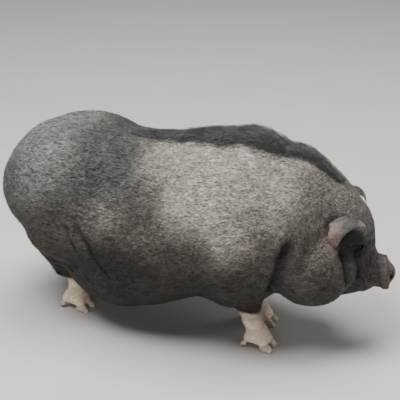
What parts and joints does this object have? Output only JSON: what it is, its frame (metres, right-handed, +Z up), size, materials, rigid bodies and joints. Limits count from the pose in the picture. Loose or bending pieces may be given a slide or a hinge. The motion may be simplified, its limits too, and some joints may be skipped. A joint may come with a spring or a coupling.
{
  "type": "pot-bellied pig",
  "caption": "Life-size still model of a heavy pot-bellied pig standing with lowered head, folded-forward ears, hanging jowls and a bristly mane.",
  "frame": {"origin": "centre of the floor beneath the model's bounding box", "axes": "+X towards the snout, +Y to the pig's left, +Z up"},
  "size_m": [1.1114, 0.5006, 0.5818],
  "materials": {
    "skin": "matte",
    "feet": "matte",
    "snout": "satin",
    "bristle": "satin",
    "hoof": "satin",
    "eye": "gloss"
  },
  "bodies": {
    "root": {"torso": "skin", "neck": "skin", "head": "skin", "snout": "snout", "mane": "bristle", "tail": "skin", "ear_right": "skin", "eye_right": "eye", "ear_left": "skin", "eye_left": "eye", "leg_front_right": "skin", "foot_front_right": "feet", "hoof_front_right_inner": "hoof", "dewclaw_front_right_inner": "hoof", "hoof_front_right_outer": "hoof", "dewclaw_front_right_outer": "hoof", "leg_front_left": "skin", "foot_front_left": "feet", "hoof_front_left_inner": "hoof", "dewclaw_front_left_inner": "hoof", "hoof_front_left_outer": "hoof", "dewclaw_front_left_outer": "hoof", "leg_rear_right": "skin", "foot_rear_right": "feet", "hoof_rear_right_inner": "hoof", "dewclaw_rear_right_inner": "hoof", "hoof_rear_right_outer": "hoof", "dewclaw_rear_right_outer": "hoof", "leg_rear_left": "skin", "foot_rear_left": "feet", "hoof_rear_left_inner": "hoof", "dewclaw_rear_left_inner": "hoof", "hoof_rear_left_outer": "hoof", "dewclaw_rear_left_outer": "hoof"}
  },
  "joints": []
}
